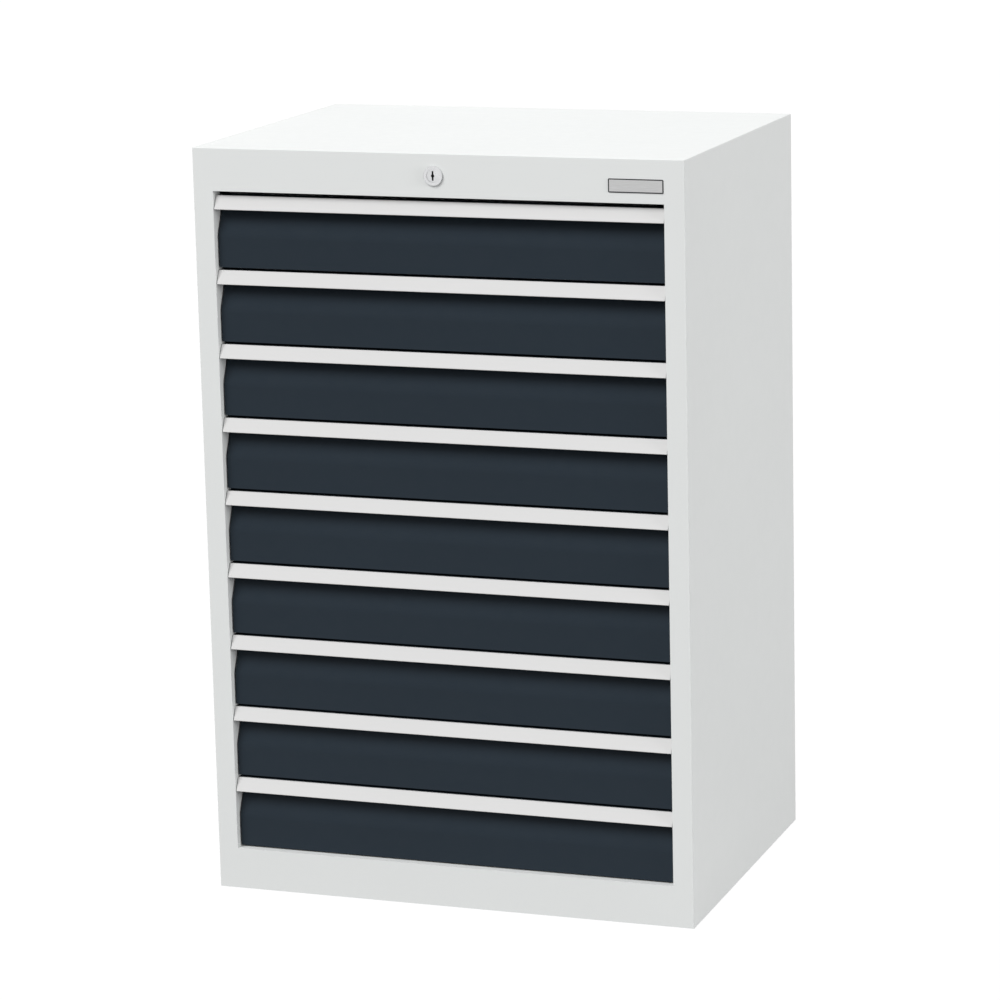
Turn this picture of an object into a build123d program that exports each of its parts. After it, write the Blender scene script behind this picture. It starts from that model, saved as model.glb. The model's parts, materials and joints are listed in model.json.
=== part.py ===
from build123d import *
import math
import os

# Drawer cabinet: a folded sheet housing with nine drawers on telescopic runners
# and one central lock. Millimetres, +Z up, the front faces -Y, and the origin is
# at the middle of the housing's footprint.

# Housing
width = 680.0
depth = 500.0
sheet = 1.2
stile_width = 28.0
return_depth = 22.0
header_height = 57.3
plinth_height = 56.5
hidden_flange = 24.0
edge_radius = 1.0
fold_radius = 2.0
rounding_limit = 0.8

# Drawer stack
drawer_count = 9
pitch = 100.0
top_gap = 5.2
strip_end_gap = 1.0
front_end_gap = 1.8
front_head_gap = 1.3
front_foot_gap = 2.3

# Drawer front and handle strip
front_recess = 9.5
front_depth = 20.0
front_sheet = 1.2
recess_height = 52.2
recess_depth = 18.0
recess_wall = 12.7
recess_bend = 20.0
strip_height = 18.3
strip_lean = 8.0
strip_thickness = 2.4
strip_rounding = 0.8
ledge_width = 14.0
ledge_thickness = 1.6

# Tray
tray_sheet = 1.0
tray_length = 400.0
tray_floor_gap = 3.0
tray_top_gap = 17.0
rim_width = 6.0
divider_slot_width = 3.0
divider_slot_height = 42.0
divider_slot_rise = 14.0
divider_spacing = 75.0
divider_margin = 15.0

# Runners
runner_space = 12.0
runner_height = 45.0
runner_sheet = 1.5
runner_length = 400.0
runner_setback = 33.0
slide_gap = 0.3
jamb_clearance = 0.6
lip_gap = 2.0
stop_length = 12.0

# Posts
post_width = 30.0
post_sheet = 1.5
front_post_setback = 28.0
rear_post_inset = 55.0

# Lock in the header
rosette_radius = 13.0
rosette_projection = 3.3
rosette_chamfer = 0.8
barrel_radius = 10.5
barrel_length = 30.0
plug_radius = 8.2
plug_recess = 0.6
plug_overrun = 2.0
key_slot_height = 12.5
key_slot_width = 2.4
key_hole_radius = 2.3
key_depth = 9.0
nut_width = 27.0
nut_thickness = 4.0
fixed_gap = 0.05
turning_gap = 0.15

# Lock shaft, crank and bearing
shaft_radius = 4.0
crank_radius = 10.0
crank_thickness = 4.0
crank_margin = 3.0
crank_gap = 1.5
pin_radius = 3.0
pin_overrun = 3.0
pin_gap_side = 0.8
pin_gap_height = 0.6
lock_turn = 90.0
bearing_width = 30.0
bearing_sheet = 2.0
bearing_foot = 28.0
bearing_drop = 12.0
bearing_distance = 14.0

# Lock bar, its hooks and guides
bar_sheet = 2.0
bar_setback = 32.8
bar_flange = 24.0
hook_reach = 19.0
bar_margin = 12.0
hook_thickness = 3.0
hook_arm = 8.0
hook_clearance = 2.5
catch_width = 20.0
catch_sheet = 2.5
catch_play = 2.0
catch_gap = 1.0
guide_margin = 10.0
guide_height = 20.0
guide_front = 6.0

# Sizes worked out from the ones above
stack_top = plinth_height + drawer_count * pitch
header_bottom = stack_top + top_gap
height = header_bottom + header_height
ceiling = height - sheet
front_y = -depth / 2
back_y = depth / 2
side_inner = width / 2 - sheet
opening_half = width / 2 - stile_width
strip_half = opening_half - strip_end_gap
front_half = opening_half - front_end_gap
return_back = front_y + return_depth

front_low = front_foot_gap
front_high = pitch - front_head_gap
front_back = front_recess + front_depth

tray_half = opening_half - runner_space
tray_front = front_y + front_back
tray_back = tray_front + tray_length + 2 * tray_sheet
tray_height = pitch - tray_floor_gap - tray_top_gap

runner_centre = tray_floor_gap + tray_height / 2
runner_lip = tray_half + lip_gap
middle_outer = opening_half - jamb_clearance
cabinet_inner = middle_outer + slide_gap
post_face = cabinet_inner + runner_sheet
runner_front = front_y + runner_setback
runner_back = runner_front + runner_length
stop_front = runner_back + slide_gap
stop_back = stop_front + stop_length

lock_z = height - header_height / 2
rosette_front = front_y - rosette_projection
barrel_back = rosette_front + barrel_length
plug_front = rosette_front + plug_recess
plug_back = barrel_back + plug_overrun

half_turn = math.radians(lock_turn / 2)
pin_x = crank_radius * math.cos(half_turn)
pin_z = lock_z - crank_radius * math.sin(half_turn)
bar_travel = 2 * crank_radius * math.sin(half_turn)
bar_back = back_y - sheet - bar_setback
bar_face = bar_back - bar_sheet
bar_front = bar_face - hook_reach
crank_back = bar_face - crank_gap
crank_front = crank_back - crank_thickness

arm_top = runner_centre + runner_height / 2
hook_length = bar_travel - hook_clearance + catch_gap
catch_low = arm_top - catch_sheet - hook_length
catch_back = bar_front + hook_thickness + catch_play + catch_sheet
hook_top = catch_low - hook_clearance
hook_low = hook_top - hook_length

# Planes named for the direction in which an outline drawn on them is carried:
# (y, z) along x, (z, x) along y and (x, y) along z
along_x = Plane.YZ
along_y = Plane((0, 0, 0), x_dir=(0, 0, 1), z_dir=(0, 1, 0))
along_z = Plane.XY


def prism(points, plane, start, end):
    """Closed outline on a plane, carried from start to end along the plane's normal."""
    outline = make_face(Polyline(*points, close=True))
    return plane.offset(start) * extrude(outline, end - start)


def block(x0, x1, y0, y1, z0, z1):
    """Box between two corners."""
    centre = Pos((x0 + x1) / 2, (y0 + y1) / 2, (z0 + z1) / 2)
    return centre * Box(x1 - x0, y1 - y0, z1 - z0)


def rod(x, z, radius, y0, y1):
    """Round bar along the depth."""
    return along_y.offset(y0) * Pos(z, x) * extrude(Circle(radius), y1 - y0)


def folded(path, thickness):
    """Outline of a sheet folded along a path, its thickness laid to the path's left."""
    points = [Vector(*point) for point in path]
    normals = []
    for start, end in zip(points, points[1:]):
        normals.append((end - start).normalized().rotate(Axis.Z, 90))
    offsets = [normals[0]]
    for before, after in zip(normals, normals[1:]):
        offsets.append((before + after) / (1 + before.dot(after)))
    offsets.append(normals[-1])
    far_side = [point + offset * thickness for point, offset in zip(points, offsets)]
    return [(point.X, point.Y) for point in points + far_side[::-1]]


def both_sides(piece):
    """A piece of the right side with its twin of the left side."""
    return [piece, mirror(piece, Plane.YZ)]


def slot_floor(number):
    """Height of the bottom of a drawer's slot, numbered from the top."""
    return plinth_height + (drawer_count - number) * pitch


# Housing

def side_panel():
    """Right side: jamb, stile, wall and rear flange in one fold, with a top and a bottom flange."""
    outer = width / 2
    rear_y = back_y - sheet
    path = [
        (opening_half, return_back),
        (opening_half, front_y),
        (outer, front_y),
        (outer, rear_y),
        (side_inner - hidden_flange, rear_y),
    ]
    panel = prism(folded(path, sheet), along_z, 0, ceiling)
    corner = panel.edges().filter_by(Axis.Z).sort_by_distance((outer, front_y, ceiling / 2))[0]
    panel = fillet(corner, fold_radius)
    flange_x = side_inner - hidden_flange
    for low in (0, ceiling - sheet):
        panel += block(flange_x, side_inner, return_back, rear_y - sheet, low, low + sheet)
    return panel


def top_panel():
    """Flat plate over the whole footprint with softened edges."""
    plate = block(-width / 2, width / 2, front_y, back_y, ceiling, height)
    plate = fillet(plate.edges().filter_by(Axis.Z), fold_radius)
    rim = plate.faces().sort_by(Axis.Z)[-1].edges()
    return fillet(rim, min(edge_radius, rounding_limit * sheet))


def back_panel():
    """Plate across the back, folded forward at the floor."""
    plate = block(-width / 2, width / 2, back_y - sheet, back_y, 0, ceiling)
    foot_half = side_inner - hidden_flange
    return plate + block(-foot_half, foot_half, back_y - hidden_flange, back_y - sheet, 0, sheet)


def bottom_panel():
    """Floor of the drawer space, notched round the jambs, with side flanges turned down."""
    top_z = plinth_height - sheet
    rear_y = back_y - 2 * sheet
    outline = [
        (-opening_half, front_y + sheet),
        (opening_half, front_y + sheet),
        (opening_half, return_back),
        (side_inner, return_back),
        (side_inner, rear_y),
        (-side_inner, rear_y),
        (-side_inner, return_back),
        (-opening_half, return_back),
    ]
    panel = prism(outline, along_z, top_z - sheet, top_z)
    flange = block(side_inner - sheet, side_inner, return_back, rear_y, top_z - hidden_flange, top_z)
    for piece in both_sides(flange):
        panel += piece
    return panel


def rail(low, high):
    """Front rail between the stiles: a face with a return at its top and its bottom."""
    path = [(return_back, high), (front_y, high), (front_y, low), (return_back, low)]
    return prism(folded(path, sheet), along_x, -opening_half, opening_half)


def header_rail():
    """Rail above the drawers, bored for the lock."""
    bore = rod(0, lock_z, barrel_radius + fixed_gap, front_y - sheet, front_y + 2 * sheet)
    return rail(header_bottom, ceiling) - bore


def base_rail():
    """Rail below the drawers, standing on the floor; its top return is the sill."""
    return rail(0, plinth_height)


def runner_posts():
    """Four upright channels, open to the walls, that the outer runner members are screwed to."""
    posts = []
    for front in (front_y + front_post_setback, back_y - rear_post_inset - post_width):
        back = front + post_width
        path = [(side_inner, back), (post_face, back), (post_face, front), (side_inner, front)]
        post = prism(folded(path, post_sheet), along_z, plinth_height - sheet, ceiling - sheet)
        posts += both_sides(post)
    return Compound(posts)


# Runners

def channel(number, web_x, lip_x, half_height, end_y):
    """Runner member on the right: an upright web with a flange above and below."""
    rise = math.copysign(half_height, web_x - lip_x)
    path = [(rise, lip_x), (rise, web_x), (-rise, web_x), (-rise, lip_x)]
    member = prism(folded(path, runner_sheet), along_y, runner_front, end_y)
    return Pos(0, 0, slot_floor(number) + runner_centre) * member


def cabinet_runners():
    """Outer members with their rear stops, on both sides of every slot."""
    half = runner_height / 2
    stop_half = half - runner_sheet
    members = []
    for number in range(1, drawer_count + 1):
        centre = slot_floor(number) + runner_centre
        member = channel(number, post_face, runner_lip, half, stop_back)
        member += block(
            runner_lip, cabinet_inner, stop_front, stop_back, centre - stop_half, centre + stop_half
        )
        members += both_sides(member)
    return Compound(members)


def middle_runners(number):
    """Pair of middle members, nested in the outer ones."""
    half = runner_height / 2 - runner_sheet - slide_gap
    return Compound(both_sides(channel(number, middle_outer, runner_lip, half, runner_back)))


def drawer_runners(number):
    """Pair of inner members on the tray's sides, nested in the middle ones."""
    half = runner_height / 2 - 2 * (runner_sheet + slide_gap)
    lip_x = middle_outer - runner_sheet - slide_gap
    return Compound(both_sides(channel(number, tray_half, lip_x, half, runner_back)))


# Drawers

def divider_positions(length):
    """Distances from the middle of a wall to its slots for dividers."""
    count = int((length / 2 - divider_margin) / divider_spacing)
    return [step * divider_spacing for step in range(-count, count + 1)]


def drawer_box(number):
    """Slotted tray with a raised front wall and a rim folded outwards, and the lock's catch behind it."""
    slot_z = slot_floor(number)
    low = slot_z + tray_floor_gap
    high = low + tray_height
    rim_half = tray_half + rim_width
    inner_half = tray_half - tray_sheet
    tray = block(-tray_half, tray_half, tray_front, tray_back, low, high)
    tray += block(-rim_half, rim_half, tray_front, tray_back + rim_width, high - tray_sheet, high)
    tray -= block(
        -inner_half, inner_half, tray_front + tray_sheet, tray_back - tray_sheet, low + tray_sheet, high
    )
    tray += block(
        -tray_half, tray_half, tray_front, tray_front + tray_sheet, low, slot_z + front_high
    )
    slot_half = divider_slot_width / 2
    slot_low = low + divider_slot_rise
    slot_high = slot_low + divider_slot_height
    for offset in divider_positions(2 * inner_half):
        tray -= block(offset - slot_half, offset + slot_half, tray_front, tray_back, slot_low, slot_high)
    for offset in divider_positions(tray_length):
        y = (tray_front + tray_back) / 2 + offset
        tray -= block(-tray_half, tray_half, y - slot_half, y + slot_half, slot_low, slot_high)
    catch_path = [
        (catch_back, slot_z + catch_low),
        (catch_back, slot_z + arm_top),
        (tray_back, slot_z + arm_top),
    ]
    catch = prism(folded(catch_path, catch_sheet), along_x, -catch_width / 2, catch_width / 2)
    return Compound([tray.solid(), catch.solid()])


def drawer_front(number):
    """Front sheet: top flange, recess wall, slope, upright face and bottom return, with closed ends."""
    recess_back = front_recess + recess_depth
    flange_z = front_high - front_sheet
    bend_z = front_high - recess_height
    path = [
        (strip_lean + strip_thickness, flange_z),
        (recess_back, flange_z),
        (recess_back, front_high - recess_wall),
        (front_recess, bend_z),
        (front_recess, front_low),
        (front_back, front_low),
    ]
    front = prism(folded(path, front_sheet), along_x, -front_half, front_half)
    end_outline = path[2:] + [(front_back, front_high), (recess_back, front_high)]
    end = prism(end_outline, along_x, front_half - front_sheet, front_half)
    end += block(
        tray_half - rim_width, front_half, front_back - front_sheet, front_back, front_low, front_high
    )
    for piece in both_sides(end):
        front += piece
    for behind, radius in ((0, recess_bend + front_sheet), (front_sheet, recess_bend)):
        bend = (0, front_recess + behind, bend_z)
        front = fillet(front.edges().filter_by(Axis.X).sort_by_distance(bend)[0], radius)
    return Pos(0, front_y, slot_floor(number)) * front


def handle_strip(number):
    """Light strip leaning back, with a ledge under the front's top flange."""
    low = front_high - strip_height
    ledge_top = front_high - front_sheet
    ledge_low = ledge_top - ledge_thickness
    slope = strip_lean / strip_height
    ledge_back = strip_lean + strip_thickness + ledge_width
    outline = [
        (0, low),
        (strip_lean, front_high),
        (strip_lean + strip_thickness, front_high),
        (strip_thickness + slope * (ledge_top - low), ledge_top),
        (ledge_back, ledge_top),
        (ledge_back, ledge_low),
        (strip_thickness + slope * (ledge_low - low), ledge_low),
        (strip_thickness, low),
    ]
    strip = prism(outline, along_x, -strip_half, strip_half)
    lower_edges = strip.edges().filter_by(Axis.X).group_by(Axis.Z)[0]
    strip = fillet(lower_edges, strip_rounding)
    return Pos(0, front_y, slot_floor(number)) * strip


# Lock

def lock_housing():
    """Rosette and barrel in the header, with the nut behind it."""
    rosette = rod(0, lock_z, rosette_radius, rosette_front, front_y)
    rim = rosette.faces().sort_by(Axis.Y)[0].edges()
    housing = chamfer(rim, rosette_chamfer) + rod(0, lock_z, barrel_radius, front_y, barrel_back)
    housing -= rod(0, lock_z, plug_radius + turning_gap, rosette_front, barrel_back)
    nut_front = front_y + sheet
    hexagon = extrude(RegularPolygon(nut_width / 2, 6, major_radius=False), nut_thickness)
    nut = along_y.offset(nut_front) * Pos(lock_z, 0) * hexagon
    nut -= rod(0, lock_z, barrel_radius + fixed_gap, nut_front, nut_front + nut_thickness)
    return Compound([housing.solid(), nut.solid()])


def lock_plug():
    """Turning plug with its keyhole."""
    plug = rod(0, lock_z, plug_radius, plug_front, plug_back)
    key_back = plug_front + key_depth
    slot_half = key_slot_height / 2
    plug -= block(
        -key_slot_width / 2, key_slot_width / 2, plug_front, key_back, lock_z - slot_half, lock_z + slot_half
    )
    return plug - rod(0, lock_z, key_hole_radius, plug_front, key_back)


def lock_shaft():
    """Shaft from the plug to the back, ending in a crank whose pin moves the lock bar."""
    shaft = rod(0, lock_z, shaft_radius, plug_back, crank_back)
    crank = Pos(crank_radius / 2, 0) * Box(crank_radius, 2 * (pin_radius + crank_margin), crank_thickness)
    crank += Cylinder(pin_radius + crank_margin, crank_thickness)
    crank += Pos(crank_radius, 0) * Cylinder(pin_radius + crank_margin, crank_thickness)
    crank = Rot(0, 0, lock_turn / 2) * crank
    crank = Pos(0, (crank_front + crank_back) / 2, lock_z) * Rot(-90, 0, 0) * crank
    pin = rod(pin_x, pin_z, pin_radius, crank_back, bar_back + pin_overrun)
    return shaft + crank + pin


def shaft_bearing():
    """Bracket hung from the top panel, bored for the shaft."""
    back = crank_front - bearing_distance
    path = [(back, lock_z - bearing_drop), (back, ceiling), (back - bearing_foot, ceiling)]
    bracket = prism(folded(path, bearing_sheet), along_x, -bearing_width / 2, bearing_width / 2)
    return bracket - rod(0, lock_z, shaft_radius + turning_gap, back - 2 * bearing_sheet, back + bearing_sheet)


def lock_bar():
    """Flat bar at the back with a hook for each drawer welded to its face."""
    half = bar_sheet / 2
    low = slot_floor(drawer_count) + hook_low - hook_arm - bar_margin
    high = pin_z + pin_radius + pin_gap_height + bar_margin
    bar = block(-half, bar_flange - half, bar_face, bar_back, low, high)
    slot_radius = pin_radius + pin_gap_height
    slot_left = pin_x - pin_gap_side
    slot_right = crank_radius + pin_gap_side
    bar -= block(slot_left, slot_right, bar_face, bar_back, pin_z - slot_radius, pin_z + slot_radius)
    for x in (slot_left, slot_right):
        bar -= rod(x, pin_z, slot_radius, bar_face, bar_back)
    hooks = []
    for number in range(1, drawer_count + 1):
        slot_z = slot_floor(number)
        hook = block(-half, half, bar_front, bar_face, slot_z + hook_low - hook_arm, slot_z + hook_low)
        hook += block(
            -half, half, bar_front, bar_front + hook_thickness, slot_z + hook_low, slot_z + hook_top
        )
        hooks.append(hook.solid())
    return Compound([bar.solid()] + hooks)


def lock_bar_guides():
    """Three blocks on the back panel, slotted for the bar's flange and web."""
    half = bar_sheet / 2
    left = -half
    right = bar_flange - half
    guides = []
    for slots_up in (1, drawer_count // 2, drawer_count - 1):
        centre = plinth_height + slots_up * pitch
        low = centre - guide_height / 2
        high = centre + guide_height / 2
        front = bar_face - guide_front
        guide = block(left - guide_margin, right + guide_margin, front, back_y - sheet, low, high)
        guide -= block(
            left - slide_gap, right + slide_gap, bar_face - slide_gap, bar_back + slide_gap, low, high
        )
        guide -= block(left - slide_gap, half + slide_gap, front, bar_face, low, high)
        guides.append(guide)
    return Compound(guides)


right_side = side_panel()
pieces = {
    "side_panel_right": right_side,
    "side_panel_left": mirror(right_side, Plane.YZ),
    "top_panel": top_panel(),
    "back_panel": back_panel(),
    "bottom_panel": bottom_panel(),
    "header_rail": header_rail(),
    "base_rail": base_rail(),
    "runner_posts": runner_posts(),
    "cabinet_runners": cabinet_runners(),
    "lock_housing": lock_housing(),
    "lock_plug": lock_plug(),
    "lock_shaft": lock_shaft(),
    "shaft_bearing": shaft_bearing(),
    "lock_bar": lock_bar(),
    "lock_bar_guides": lock_bar_guides(),
}
for number in range(1, drawer_count + 1):
    pieces[f"drawer_box_{number}"] = drawer_box(number)
    pieces[f"drawer_front_{number}"] = drawer_front(number)
    pieces[f"handle_strip_{number}"] = handle_strip(number)
    pieces[f"drawer_runners_{number}"] = drawer_runners(number)
    pieces[f"middle_runners_{number}"] = middle_runners(number)

os.makedirs("parts", exist_ok=True)
for name, piece in pieces.items():
    export_step(piece, f"parts/{name}.step")
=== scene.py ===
import json
import math

import bmesh
import bpy
from mathutils import Matrix, Vector

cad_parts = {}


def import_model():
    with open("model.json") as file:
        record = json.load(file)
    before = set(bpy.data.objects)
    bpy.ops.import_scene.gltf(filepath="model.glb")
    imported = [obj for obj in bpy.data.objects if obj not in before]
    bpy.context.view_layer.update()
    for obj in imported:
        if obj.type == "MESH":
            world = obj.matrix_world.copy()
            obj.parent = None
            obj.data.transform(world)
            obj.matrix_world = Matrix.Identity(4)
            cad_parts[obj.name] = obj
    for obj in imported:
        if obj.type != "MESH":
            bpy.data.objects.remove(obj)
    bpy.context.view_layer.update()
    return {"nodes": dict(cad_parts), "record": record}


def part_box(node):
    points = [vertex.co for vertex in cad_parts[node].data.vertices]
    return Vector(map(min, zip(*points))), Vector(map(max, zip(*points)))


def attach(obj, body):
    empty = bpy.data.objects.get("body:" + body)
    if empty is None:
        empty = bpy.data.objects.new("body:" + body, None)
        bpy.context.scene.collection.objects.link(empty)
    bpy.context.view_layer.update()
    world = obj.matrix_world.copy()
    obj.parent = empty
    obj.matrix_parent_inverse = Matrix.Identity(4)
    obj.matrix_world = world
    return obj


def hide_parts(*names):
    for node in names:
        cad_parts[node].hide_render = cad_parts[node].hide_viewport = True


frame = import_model()

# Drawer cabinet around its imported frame. Metres, +Z up, the front faces -Y.

# Places on the object
DRAWER_COUNT = 9
HEADER_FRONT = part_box("header_rail")[0].y
PLUG_LOW, PLUG_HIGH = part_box("lock_plug")
LOCK_HEIGHT = (PLUG_LOW.z + PLUG_HIGH.z) / 2
FLANGE_BEHIND = 0.0200
TRAY_WALL = 0.299
RUNNER_WEB = 0.3015

# Name plate
PLATE_LEFT, PLATE_RIGHT = 0.2377, 0.3116
PLATE_LOW, PLATE_HIGH = 0.9752, 0.9932
PLATE_CORNER = 0.0016
CORNER_STEPS = 6
PLATE_RIM = 0.0014
PLATE_THICK = 0.0008
PLATE_SUNK = 0.0003
PLATE_SOFT = 0.0002

# Keyhole
KEY_HALF_HEIGHT = 0.0062
KEY_HALF_WIDTH = 0.00115
KEY_ROUND = 0.00225
KEY_BEHIND = 0.0008
KEY_STEPS = 10

# Rivets
RIVET_RADIUS = 0.0024
RUNNER_RIVET_RADIUS = 0.0040
RIVET_RISE = 0.0009
RIVET_SIDES = 20
RIVET_RINGS = 5
FLANGE_RIVETS = (-0.27, -0.162, -0.054, 0.054, 0.162, 0.27)
WALL_RIVETS = (-0.175, -0.02, 0.135)

# Back plate: a pressed field, the dents of its spot welds and the rivets of the lock bar's guides
BACK_SHEET = 0.0012
BACK_EDGE = 0.0005
FOLD_HALF = 0.3148
WELD_COLUMNS = (-0.327, 0.327)
WELD_ROWS = [0.0315 + 0.08 * row for row in range(13)]
GUIDE_RIVET_COLUMNS = (-0.006, 0.028)
GUIDE_RIVET_ROWS = (0.1565, 0.4565, 0.8565)
GUIDE_RIVET_RADIUS = 0.0040
DENT_CELL = 0.006
DENT_SIDES = 16
DENT_START = 0.625
DENT_RINGS = ((0.0045, 0), (0.0037, 0), (0.0031, 0.00028), (0.0020, 0.00036), (0.0008, 0.00040))
DENT_DEPTH = 0.0004
FIELD_HALF = 0.309
FIELD_LOW, FIELD_HIGH = 0.045, 0.975
FIELD_DEPTH = 0.0010
FIELD_SLOPE = 0.004

# Usual range of a noise value, and the colour sockets of a mix node
NOISE_LOW, NOISE_HIGH = 0.3, 0.7
MIX_FACTOR, MIX_FIRST, MIX_SECOND, MIX_RESULT = 0, 6, 7, 2

# How far a coat's roughness varies to each side
COAT_GLOSS = 0.04

# Floor
FLOOR_HALF = 40.0
FLOOR_DROP = 0.0005
FLOOR_WHITE = 0.15
FLOOR_MOTTLE = 0.995
FLOOR_GLOW = 1.23
FLOOR_GLOW_SHARE = 0.80

# Light: each lamp's name, place, size and power
WORLD_LIGHT = 0.70
WORLD_SEEN = 1.0
LAMP_AIM = (0, 0, 0.5)
LAMPS = (
    ("front", (-24.3, -42.1, 45.2), 33.0, 36900.0),
    ("right", (15.8, -2.6, 2.2), 4.4, 1080.0),
    ("back", (-9.0, 16.0, 3.4), 6.0, 960.0),
)

# Camera
CAMERA_PLACE = (1.76286, -4.84002, 1.64921)
CAMERA_AZIMUTH = math.radians(18.576)
CAMERA_DOWN = math.radians(12.008)
CAMERA_ROLL = math.radians(-1.001)
CAMERA_LENS = 137.692
CAMERA_SENSOR = 36.0
CAMERA_SHIFT = (-0.100, -0.035)
CAMERA_REACH = 100.0


# Shader building

def new_material(name):
    """Node material with only its Principled shader, and that shader."""
    material = bpy.data.materials.new(name)
    material.use_nodes = True
    shader = material.node_tree.nodes["Principled BSDF"]
    return material, shader


def add(material, kind, **inputs):
    """Node with some of its sockets set, by name with underscores for spaces."""
    node = material.node_tree.nodes.new(kind)
    for key, value in inputs.items():
        node.inputs[key.replace("_", " ")].default_value = value
    return node


def link(material, output, socket):
    """Joins two sockets of a node tree."""
    material.node_tree.links.new(output, socket)


def place(material, scale=(1, 1, 1), location=(0, 0, 0), rotation=(0, 0, 0)):
    """The object's own coordinates, scaled and moved."""
    coordinates = add(material, "ShaderNodeTexCoord")
    mapping = add(material, "ShaderNodeMapping", Scale=scale, Location=location, Rotation=rotation)
    link(material, coordinates.outputs["Object"], mapping.inputs["Vector"])
    return mapping.outputs["Vector"]


def noise(material, vector, scale, detail=2.0, roughness=0.5):
    """Noise value of the node's usual kind."""
    node = add(material, "ShaderNodeTexNoise", Scale=scale, Detail=detail, Roughness=roughness)
    link(material, vector, node.inputs["Vector"])
    return node.outputs["Fac"]


def spread(material, factor, low, high):
    """A noise value stretched from its usual range over another one."""
    limits = {"From_Min": NOISE_LOW, "From_Max": NOISE_HIGH, "To_Min": low, "To_Max": high}
    node = add(material, "ShaderNodeMapRange", **limits)
    link(material, factor, node.inputs["Value"])
    return node.outputs["Result"]


def blend_colours(material, factor, first, second):
    """Colour that runs from one to another with a factor."""
    node = add(material, "ShaderNodeMix")
    node.data_type = "RGBA"
    node.inputs[MIX_FIRST].default_value = (*first, 1)
    node.inputs[MIX_SECOND].default_value = (*second, 1)
    link(material, factor, node.inputs[MIX_FACTOR])
    return node.outputs[MIX_RESULT]


def bump(material, shader, height, strength, distance, below=None):
    """Relief on the shader, on top of another relief where one is given."""
    node = add(material, "ShaderNodeBump", Strength=strength, Distance=distance)
    link(material, height, node.inputs["Height"])
    if below is not None:
        link(material, below, node.inputs["Normal"])
    link(material, node.outputs["Normal"], shader.inputs["Normal"])
    return node.outputs["Normal"]


# Materials

def powder_coat(name, colour, shade, roughness, level, peel=0.10):
    """Baked powder paint: fine orange peel, a faint cloudiness and uneven gloss."""
    material, shader = new_material(name)
    shader.inputs["Specular IOR Level"].default_value = level
    vector = place(material)
    cloud = spread(material, noise(material, vector, scale=4.0, detail=3.0), 0, 1)
    darker = tuple(channel * shade for channel in colour)
    link(material, blend_colours(material, cloud, darker, colour), shader.inputs["Base Color"])
    patches = noise(material, vector, scale=60.0, detail=3.0)
    gloss = spread(material, patches, roughness - COAT_GLOSS, roughness + COAT_GLOSS)
    link(material, gloss, shader.inputs["Roughness"])
    waves = noise(material, vector, scale=9.0, detail=1.0)
    sheet_relief = bump(material, shader, waves, strength=0.06, distance=0.002)
    grain = noise(material, vector, scale=520.0, detail=2.0, roughness=0.6)
    bump(material, shader, grain, strength=peel, distance=0.0001, below=sheet_relief)
    return material


def zinc(name):
    """Zinc-plated rolled steel: drawn streaks along the sheet, and a spangle in its gloss."""
    material, shader = new_material(name)
    shader.inputs["Metallic"].default_value = 1.0
    drawn = place(material, scale=(1, 0.03, 1))
    streaks = noise(material, drawn, scale=520.0, detail=3.0, roughness=0.6)
    crystals = noise(material, place(material), scale=150.0, detail=4.0)
    spangle = spread(material, crystals, 0.30, 0.44)
    factor = spread(material, streaks, 0, 1)
    tint = blend_colours(material, factor, (0.46, 0.47, 0.47), (0.62, 0.615, 0.595))
    link(material, tint, shader.inputs["Base Color"])
    link(material, spangle, shader.inputs["Roughness"])
    bump(material, shader, streaks, strength=0.15, distance=0.0001)
    return material


def nickel(name):
    """Satin nickel with the fine rings that turning leaves, centred on the lock."""
    material, shader = new_material(name)
    shader.inputs["Metallic"].default_value = 1.0
    vector = place(material, location=(0, 0, -LOCK_HEIGHT))
    rings = add(material, "ShaderNodeTexWave", Scale=900.0, Distortion=1.5, Detail=2.0)
    rings.wave_type = "RINGS"
    rings.rings_direction = "Y"
    link(material, vector, rings.inputs["Vector"])
    tarnish = spread(material, noise(material, vector, scale=160.0, detail=3.0), 0, 1)
    tint = blend_colours(material, tarnish, (0.675, 0.680, 0.690), (0.745, 0.750, 0.758))
    link(material, tint, shader.inputs["Base Color"])
    gloss = spread(material, noise(material, vector, scale=700.0, detail=2.0), 0.24, 0.36)
    link(material, gloss, shader.inputs["Roughness"])
    bump(material, shader, rings.outputs["Fac"], strength=0.10, distance=0.00005)
    return material


def nylon(name):
    """Black glass-filled nylon with its fine grain."""
    material, shader = new_material(name)
    shader.inputs["Specular IOR Level"].default_value = 0.4
    grain = noise(material, place(material), scale=1500.0, detail=2.0)
    factor = spread(material, grain, 0, 1)
    tint = blend_colours(material, factor, (0.012, 0.012, 0.013), (0.020, 0.020, 0.021))
    link(material, tint, shader.inputs["Base Color"])
    link(material, spread(material, grain, 0.45, 0.60), shader.inputs["Roughness"])
    bump(material, shader, grain, strength=0.2, distance=0.0001)
    return material


def brushed(name, dark, light):
    """Silver metal brushed along its length."""
    material, shader = new_material(name)
    shader.inputs["Metallic"].default_value = 0.9
    lines = noise(material, place(material, scale=(0.03, 1, 1)), scale=2600.0, detail=2.0)
    tint = blend_colours(material, spread(material, lines, 0, 1), dark, light)
    link(material, tint, shader.inputs["Base Color"])
    link(material, spread(material, lines, 0.30, 0.42), shader.inputs["Roughness"])
    bump(material, shader, lines, strength=0.08, distance=0.00005)
    return material


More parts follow.
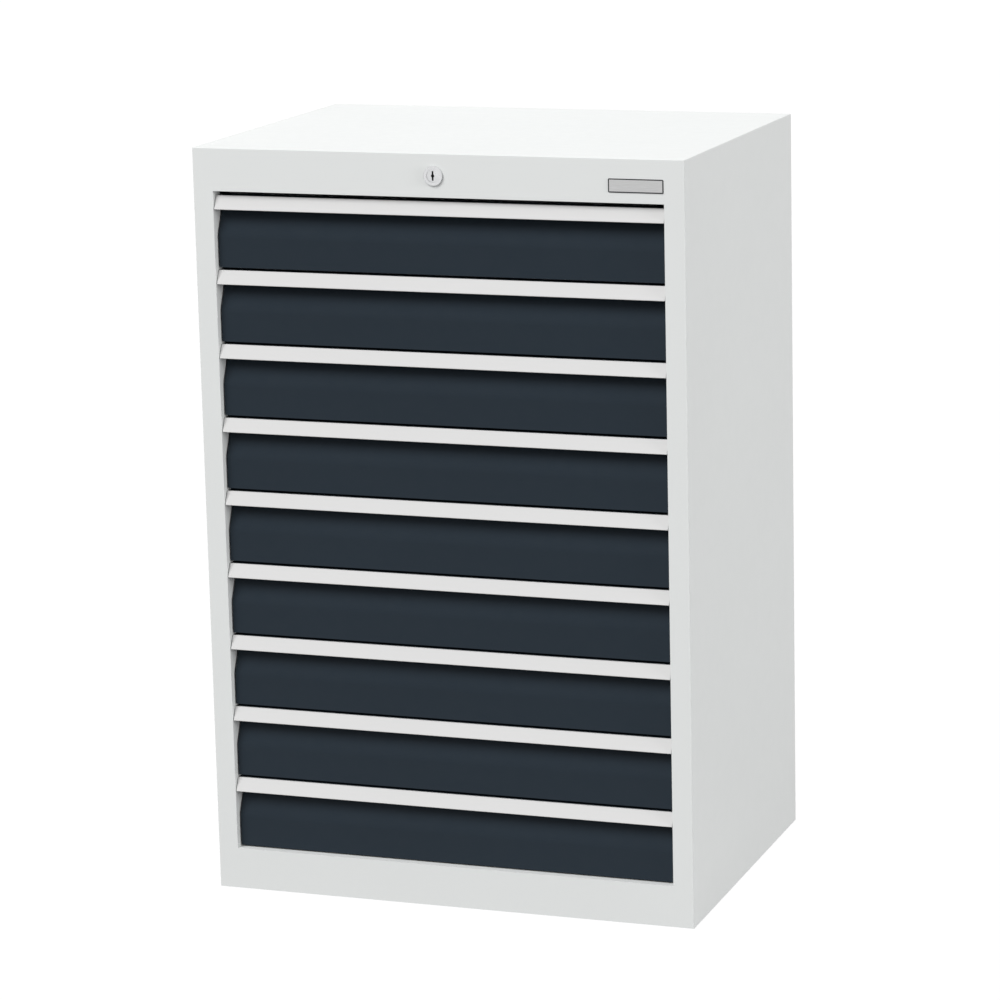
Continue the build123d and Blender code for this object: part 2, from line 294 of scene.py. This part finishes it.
materials = {
    "housing_paint": powder_coat(
        "housing_paint", (0.700, 0.714, 0.709), shade=0.985, roughness=0.46, level=0.30
    ),
    "strip_finish": powder_coat(
        "strip_finish", (0.590, 0.588, 0.586), shade=0.985, roughness=0.44, level=0.30
    ),
    "tray_paint": powder_coat(
        "tray_paint", (0.660, 0.675, 0.667), shade=0.98, roughness=0.50, level=0.30
    ),
    "front_paint": powder_coat(
        "front_paint", (0.0123, 0.0198, 0.0283), shade=0.94, roughness=0.50, level=0.20, peel=0.08
    ),
    "zinc_steel": zinc("zinc_steel"),
    "lock_chrome": nickel("lock_chrome"),
    "guide_plastic": nylon("guide_plastic"),
}
plate_face_metal = brushed(
    "plate_face_metal", dark=(0.500, 0.502, 0.502), light=(0.585, 0.587, 0.587)
)
plate_rim_paint = powder_coat(
    "plate_rim_paint", (0.020, 0.021, 0.023), shade=0.9, roughness=0.4, level=0.3
)
# Near-black paint for the plate in the keyhole: painted shade for the dark inside of the lock
keyhole_shade_paint = powder_coat(
    "keyhole_shade_paint", (0.004, 0.004, 0.004), shade=0.8, roughness=0.6, level=0.1
)

for subpart in frame["record"]["subparts"]:
    node = frame["nodes"][subpart["node"]]
    node.data.materials.clear()
    node.data.materials.append(materials[subpart["material_slot"]])


# Pieces

def into_scene(name, data):
    """Object with its data, in the scene."""
    piece = bpy.data.objects.new(name, data)
    bpy.context.scene.collection.objects.link(piece)
    return piece


def mesh_data(name, mesh, material):
    """A finished mesh with its material."""
    data = bpy.data.meshes.new(name)
    mesh.to_mesh(data)
    mesh.free()
    data.materials.append(material)
    return data


def mesh_object(name, mesh, material, body, smooth=True):
    """Finished mesh as a piece on a body; where smooth is None, its faces keep their own."""
    data = mesh_data(name, mesh, material)
    if smooth is not None:
        for polygon in data.polygons:
            polygon.use_smooth = smooth
    piece = into_scene(name, data)
    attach(piece, body)
    return piece


def rounded_loop(mesh, inset, y):
    """Vertices of the plate's outline, taken in by an inset, at a depth."""
    radius = PLATE_CORNER - inset
    low = Vector((PLATE_LEFT + PLATE_CORNER, PLATE_LOW + PLATE_CORNER))
    high = Vector((PLATE_RIGHT - PLATE_CORNER, PLATE_HIGH - PLATE_CORNER))
    loop = []
    corners = ((high.x, high.y), (low.x, high.y), (low.x, low.y), (high.x, low.y))
    for quarter, (x, z) in enumerate(corners):
        for step in range(CORNER_STEPS + 1):
            angle = (quarter + step / CORNER_STEPS) * math.pi / 2
            point = (x + radius * math.cos(angle), y, z + radius * math.sin(angle))
            loop.append(mesh.verts.new(point))
    return loop


def bridge(mesh, first, second):
    """Quads between two loops of vertices."""
    count = len(first)
    faces = []
    for index in range(count):
        after = (index + 1) % count
        faces.append(mesh.faces.new((first[index], first[after], second[after], second[index])))
    return faces


def front_face(mesh, loop):
    """One flat face on a loop of vertices, turned to the front."""
    face = mesh.faces.new(loop)
    face.normal_update()
    if face.normal.y > 0:
        face.normal_flip()
    return face


def name_plate():
    """Bare plate in a dark rim, stuck on the header."""
    front = HEADER_FRONT - PLATE_THICK
    inner = front + PLATE_SUNK
    rim = bmesh.new()
    loops = [
        rounded_loop(rim, 0, HEADER_FRONT),
        rounded_loop(rim, 0, front + PLATE_SOFT),
        rounded_loop(rim, PLATE_SOFT, front),
        rounded_loop(rim, PLATE_RIM - PLATE_SOFT, front),
        rounded_loop(rim, PLATE_RIM, front + PLATE_SOFT),
        rounded_loop(rim, PLATE_RIM, inner),
    ]
    for first, second in zip(loops, loops[1:]):
        bridge(rim, first, second)
    bmesh.ops.recalc_face_normals(rim, faces=rim.faces)
    mesh_object("name_plate_rim", rim, plate_rim_paint, "housing")
    face = bmesh.new()
    front_face(face, rounded_loop(face, PLATE_RIM, inner))
    mesh_object("name_plate_face", face, plate_face_metal, "housing", smooth=False)


def keyhole_shade():
    """Near-black plate just behind the plug's face: painted shade that makes the keyhole read
    black.
    """
    y = PLUG_LOW.y + KEY_BEHIND
    turn = math.acos(KEY_HALF_WIDTH / KEY_ROUND)
    points = []
    for side in (1, -1):
        points.append((side * KEY_HALF_WIDTH, side * KEY_HALF_HEIGHT))
        for step in range(KEY_STEPS + 1):
            angle = turn - 2 * turn * step / KEY_STEPS
            points.append((side * KEY_ROUND * math.cos(angle), side * KEY_ROUND * math.sin(angle)))
        points.append((side * KEY_HALF_WIDTH, -side * KEY_HALF_HEIGHT))
    mesh = bmesh.new()
    front = front_face(mesh, [mesh.verts.new((x, y, LOCK_HEIGHT + z)) for x, z in points])
    walls = bmesh.ops.extrude_face_region(mesh, geom=[front])
    moved = [item for item in walls["geom"] if isinstance(item, bmesh.types.BMVert)]
    bmesh.ops.translate(mesh, verts=moved, vec=(0, KEY_BEHIND, 0))
    bmesh.ops.recalc_face_normals(mesh, faces=mesh.faces)
    # The plate is painted shade, not a part of the lock
    mesh_object("keyhole_shade_plate", mesh, keyhole_shade_paint, "lock", smooth=False)


def dome(mesh, centre, outward, foot=RIVET_RADIUS):
    """Rivet head: a low dome standing on a surface, its foot just under it."""
    turn = Vector((0, 0, 1)).rotation_difference(Vector(outward)).to_matrix()
    rings = []
    for ring in range(RIVET_RINGS):
        angle = ring / RIVET_RINGS * math.pi / 2
        radius = foot * math.cos(angle)
        rise = RIVET_RISE * math.sin(angle)
        loop = []
        for side in range(RIVET_SIDES):
            turned = side / RIVET_SIDES * 2 * math.pi
            point = Vector((radius * math.cos(turned), radius * math.sin(turned), rise))
            loop.append(mesh.verts.new(Vector(centre) + turn @ point))
        rings.append(loop)
    for first, second in zip(rings, rings[1:]):
        bridge(mesh, first, second)
    top = mesh.verts.new(Vector(centre) + turn @ Vector((0, 0, RIVET_RISE)))
    last = rings[-1]
    for side in range(RIVET_SIDES):
        mesh.faces.new((last[side], last[(side + 1) % RIVET_SIDES], top))


def slot_piece(name, mesh, body, slot, smooth=True):
    """A piece with the finish of one of the record's material slots."""
    return mesh_object(name, mesh, materials[slot], body, smooth)


def drawer_rivets(number):
    """Rivets that hold the strip under the front's top flange, and the runners to the tray."""
    body = f"drawer_{number}"
    flange_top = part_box(f"drawer_front_{number}")[1].z
    runner_low, runner_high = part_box(f"drawer_runners_{number}")
    height = (runner_low.z + runner_high.z) / 2
    flange = bmesh.new()
    for x in FLANGE_RIVETS:
        dome(flange, (x, HEADER_FRONT + FLANGE_BEHIND, flange_top), (0, 0, 1))
    slot_piece(f"flange_rivets_{number}", flange, body, "front_paint")
    walls = bmesh.new()
    for side in (-1, 1):
        for y in WALL_RIVETS:
            dome(walls, (side * TRAY_WALL, y, height), (-side, 0, 0))
            dome(walls, (side * RUNNER_WEB, y, height), (side, 0, 0), RUNNER_RIVET_RADIUS)
    slot_piece(f"wall_rivets_{number}", walls, body, "zinc_steel")


def dent(mesh, corners, x, z, y):
    """Shallow round dent in one square of the back plate."""
    loops = []
    for radius, depth in DENT_RINGS:
        loop = []
        for side in range(DENT_SIDES):
            angle = (side / DENT_SIDES + DENT_START) * 2 * math.pi
            point = (x + radius * math.cos(angle), y - depth, z + radius * math.sin(angle))
            loop.append(mesh.verts.new(point))
        loops.append(loop)
    quarter = DENT_SIDES // 4
    for index in range(4):
        arc = [loops[0][(index * quarter + step) % DENT_SIDES] for step in range(quarter + 1)]
        mesh.faces.new([corners[index], corners[(index + 1) % 4]] + arc[::-1])
    for first, second in zip(loops[1:], loops[2:]):
        for face in bridge(mesh, first, second):
            face.smooth = True
    bridge(mesh, loops[0], loops[1])
    bottom = mesh.verts.new((x, y - DENT_DEPTH, z))
    for side in range(DENT_SIDES):
        mesh.faces.new((loops[-1][side], loops[-1][(side + 1) % DENT_SIDES], bottom)).smooth = True


def grid_lines(low, high, field_low, field_high, centres):
    """Lines across the back plate: edges, chamfers, the field's slopes and each dent's square."""
    lines = [low, low + BACK_EDGE, field_low, field_low + FIELD_SLOPE]
    lines += [field_high - FIELD_SLOPE, field_high, high - BACK_EDGE, high]
    for centre in centres:
        lines += [centre - DENT_CELL, centre + DENT_CELL]
    return sorted(lines)


def plate_skin(mesh, columns, rows, y, dents):
    """One side of the back plate, flat where it has no dents, and the vertices along its edge."""
    last_column, last_row = len(columns) - 1, len(rows) - 1
    points = {}
    for i, x in enumerate(columns):
        for j, z in enumerate(rows):
            in_field = abs(x) < FIELD_HALF and FIELD_LOW < z < FIELD_HIGH
            at_edge = i in (0, last_column) or j in (0, last_row)
            sunk = FIELD_DEPTH * in_field + BACK_EDGE * at_edge if dents else 0
            points[i, j] = mesh.verts.new((x, y - sunk, z))
    for i in range(last_column):
        for j in range(last_row):
            corners = (points[i, j], points[i + 1, j], points[i + 1, j + 1], points[i, j + 1])
            x, z = (columns[i] + columns[i + 1]) / 2, (rows[j] + rows[j + 1]) / 2
            if any(math.hypot(x - a, z - b) < BACK_EDGE for a, b in dents):
                dent(mesh, corners, x, z, y)
            else:
                mesh.faces.new(corners)
    edge = [(i, 0) for i in range(last_column)]
    edge += [(last_column, j) for j in range(last_row)]
    edge += [(i, last_row) for i in range(last_column, 0, -1)]
    edge += [(0, j) for j in range(last_row, 0, -1)]
    return [points[at] for at in edge]


def back_plate():
    """The back panel with softened edges, a field pressed in, dents at its welds, and rivets."""
    low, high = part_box("back_panel")
    dents = [(x, z) for x in WELD_COLUMNS for z in WELD_ROWS]
    columns = grid_lines(low.x, high.x, -FIELD_HALF, FIELD_HALF, WELD_COLUMNS)
    rows = grid_lines(low.z, high.z, FIELD_LOW, FIELD_HIGH, WELD_ROWS)
    mesh = bmesh.new()
    inner_y = high.y - BACK_SHEET
    outer = plate_skin(mesh, columns, rows, high.y, dents)
    inner = plate_skin(mesh, columns, rows, inner_y, ())
    bridge(mesh, outer, inner)
    middle = Vector((0, (low.y + inner_y) / 2, low.z + BACK_SHEET / 2))
    fold = Matrix.Diagonal((2 * FOLD_HALF, inner_y - low.y, BACK_SHEET, 1))
    bmesh.ops.create_cube(mesh, size=1, matrix=Matrix.Translation(middle) @ fold)
    bmesh.ops.recalc_face_normals(mesh, faces=mesh.faces)
    piece = slot_piece("back_plate", mesh, "housing", "housing_paint", smooth=None)
    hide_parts("back_panel")
    rivets = bmesh.new()
    for x in GUIDE_RIVET_COLUMNS:
        for z in GUIDE_RIVET_ROWS:
            dome(rivets, (x, high.y - FIELD_DEPTH, z), (0, 1, 0), GUIDE_RIVET_RADIUS)
    slot_piece("guide_rivets", rivets, "housing", "guide_plastic")


name_plate()
# Near-black plate in the keyhole: painted shade
keyhole_shade()
back_plate()
for number in range(1, DRAWER_COUNT + 1):
    drawer_rivets(number)


# Floor, light and background

def seen_directly(material):
    """1 for camera, glossy and transmission rays, 0 for the rays that light the object."""
    path = add(material, "ShaderNodeLightPath")
    total = path.outputs["Is Camera Ray"]
    for output in ("Is Glossy Ray", "Is Transmission Ray"):
        node = add(material, "ShaderNodeMath")
        node.operation = "MAXIMUM"
        link(material, total, node.inputs[0])
        link(material, path.outputs[output], node.inputs[1])
        total = node.outputs[0]
    return total


def floor_material():
    """Pale floor whose colour runs into the white background but keeps the object's shadow."""
    material, shader = new_material("floor_pale")
    shader.inputs["Roughness"].default_value = 0.9
    shader.inputs["Specular IOR Level"].default_value = 0.0
    vector = place(material)
    mottle = spread(material, noise(material, vector, scale=30.0, detail=3.0), 0, 1)
    white = (FLOOR_WHITE,) * 3
    tint = blend_colours(material, mottle, tuple(c * FLOOR_MOTTLE for c in white), white)
    link(material, tint, shader.inputs["Base Color"])
    glow = add(material, "ShaderNodeEmission", Strength=FLOOR_GLOW)
    share = add(material, "ShaderNodeMath")
    share.operation = "MULTIPLY"
    share.inputs[1].default_value = FLOOR_GLOW_SHARE
    link(material, seen_directly(material), share.inputs[0])
    mix = add(material, "ShaderNodeMixShader")
    link(material, share.outputs[0], mix.inputs[0])
    link(material, shader.outputs[0], mix.inputs[1])
    link(material, glow.outputs[0], mix.inputs[2])
    output = material.node_tree.nodes["Material Output"]
    link(material, mix.outputs[0], output.inputs["Surface"])
    return material


def floor():
    """Floor plane, just under the cabinet."""
    mesh = bmesh.new()
    corners = ((-1, -1), (1, -1), (1, 1), (-1, 1))
    points = [(x * FLOOR_HALF, y * FLOOR_HALF, -FLOOR_DROP) for x, y in corners]
    mesh.faces.new([mesh.verts.new(point) for point in points])
    piece = into_scene("floor", mesh_data("floor", mesh, floor_material()))


def world():
    """Even light from all round, and white where it is seen directly."""
    sky = bpy.data.worlds.new("studio")
    bpy.context.scene.world = sky
    sky.use_nodes = True
    light = sky.node_tree.nodes["Background"]
    light.inputs["Color"].default_value = (1, 1, 1, 1)
    light.inputs["Strength"].default_value = WORLD_LIGHT
    seen = add(sky, "ShaderNodeBackground", Color=(1, 1, 1, 1), Strength=WORLD_SEEN)
    mix = add(sky, "ShaderNodeMixShader")
    link(sky, seen_directly(sky), mix.inputs[0])
    link(sky, light.outputs[0], mix.inputs[1])
    link(sky, seen.outputs[0], mix.inputs[2])
    link(sky, mix.outputs[0], sky.node_tree.nodes["World Output"].inputs["Surface"])


def area_lamp(name, place_at, size, power):
    """Large soft lamp, far off, looking at the middle of the cabinet."""
    lamp = bpy.data.lights.new(name, "AREA")
    lamp.shape = "SQUARE"
    lamp.size = size
    lamp.energy = power
    piece = into_scene(name, lamp)
    piece.location = place_at
    direction = Vector(LAMP_AIM) - Vector(place_at)
    piece.rotation_euler = direction.to_track_quat("-Z", "Y").to_euler()
    piece.visible_camera = False
    piece.visible_glossy = False


floor()
world()
for lamp in LAMPS:
    area_lamp(*lamp)


# Camera

def camera():
    """Camera at the place and angle that the housing's corners give."""
    data = bpy.data.cameras.new("camera")
    data.lens = CAMERA_LENS
    data.sensor_width = CAMERA_SENSOR
    data.shift_x, data.shift_y = CAMERA_SHIFT
    data.clip_end = CAMERA_REACH
    piece = into_scene("camera", data)
    turn = Matrix.Rotation(CAMERA_AZIMUTH, 4, "Z")
    tilt = Matrix.Rotation(math.pi / 2 - CAMERA_DOWN, 4, "X")
    roll = Matrix.Rotation(CAMERA_ROLL, 4, "Z")
    piece.matrix_world = Matrix.Translation(CAMERA_PLACE) @ turn @ tilt @ roll
    bpy.context.scene.camera = piece


camera()
bpy.context.scene.view_settings.view_transform = "Standard"
